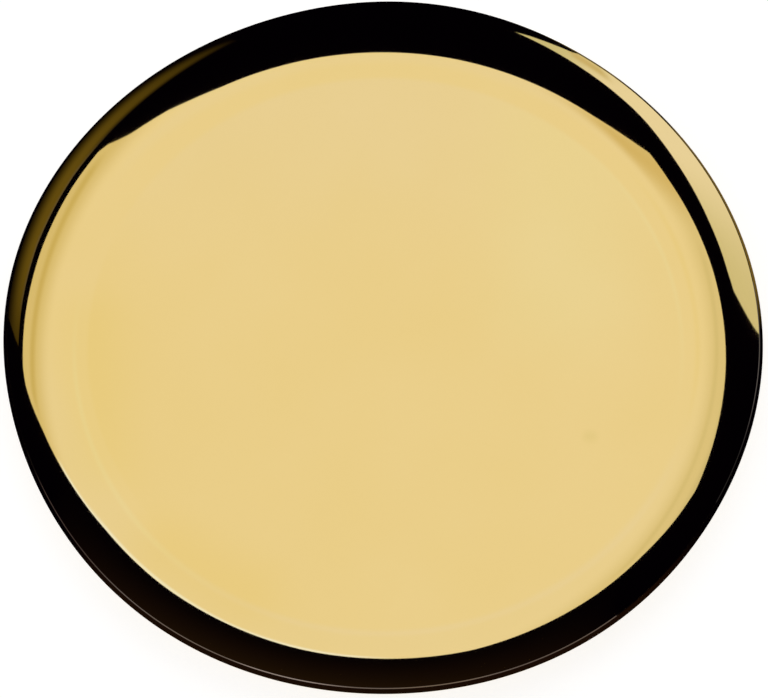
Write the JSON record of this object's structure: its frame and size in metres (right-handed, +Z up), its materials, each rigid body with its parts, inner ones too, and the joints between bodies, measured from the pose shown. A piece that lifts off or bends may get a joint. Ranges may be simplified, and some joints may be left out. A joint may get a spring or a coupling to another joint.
{
  "type": "jewelry tray",
  "caption": "Shallow round brass tray pressed from one thick sheet: a flat mirror-polished floor, a wall that flares out in one curve, and a plain cut edge, on small rubber feet.",
  "frame": {"origin": "centre of the tray, on the surface that its feet stand on", "axes": "+Z up along the tray's axis; +X to the right and +Y away from the viewer in the picture"},
  "size_m": [0.203, 0.203, 0.011],
  "materials": {
    "polished_brass": "mirror polished, with faint polishing and wiping marks",
    "foot_rubber": "matt moulded black rubber"
  },
  "bodies": {
    "root": {"tray_shell": "polished_brass", "foot_1": "foot_rubber", "foot_2": "foot_rubber", "foot_3": "foot_rubber", "foot_4": "foot_rubber"}
  },
  "joints": []
}
